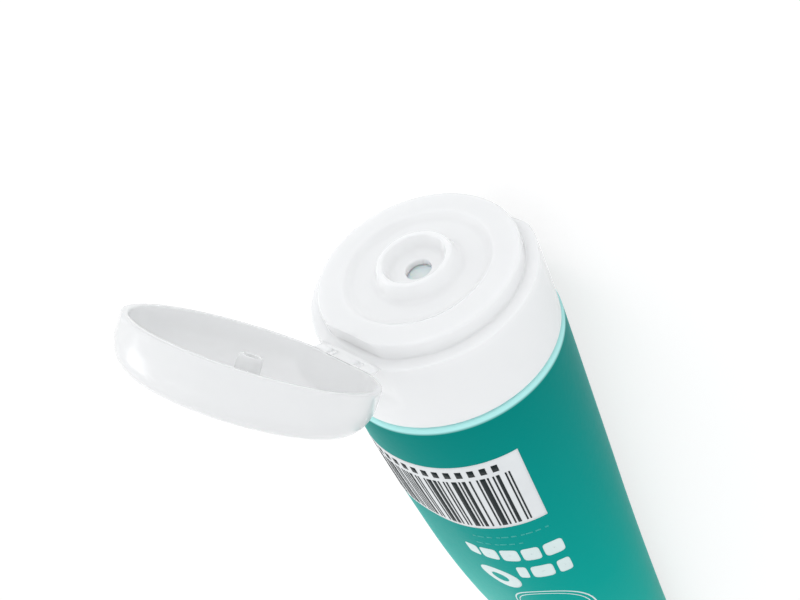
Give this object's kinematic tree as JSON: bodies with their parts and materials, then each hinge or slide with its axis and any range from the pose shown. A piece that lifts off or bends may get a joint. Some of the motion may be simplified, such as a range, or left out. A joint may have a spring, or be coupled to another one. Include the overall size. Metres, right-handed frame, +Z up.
{
  "type": "squeeze tube with flip-top cap",
  "caption": "Squeeze tube with a round shoulder, a flat end seal and a hinged flip-top cap whose plug closes a raised orifice.",
  "frame": {"origin": "on the floor, midway between the two ends, under the tube's axis", "axes": "+X from the end seal to the cap, +Z up, the hinge uppermost; the tube's own axis rises 6 degrees from the floor towards the cap"},
  "size_m": [0.1968, 0.0622, 0.072],
  "materials": {
    "sleeve": "satin teal that fades to pale mint at the seal",
    "head": "natural",
    "gel": "clear gel",
    "cap": "natural translucent, glossy deck and satin skirt",
    "film": "natural translucent",
    "lid": "natural translucent, glossy"
  },
  "bodies": {
    "tube": {"tube_sleeve": "sleeve", "tube_head": "head", "gel_fill": "gel", "cap_body": "cap", "hinge_film": "film"},
    "lid": {"cap_lid": "lid"}
  },
  "joints": [
    {"name": "lid_hinge", "type": "hinge", "parent": "tube", "child": "lid", "pos_m": [0.07017, 0, 0.04201], "axis": [0, -1, 0], "range_deg": [-127, 48], "deforming": ["hinge_film"]}
  ]
}
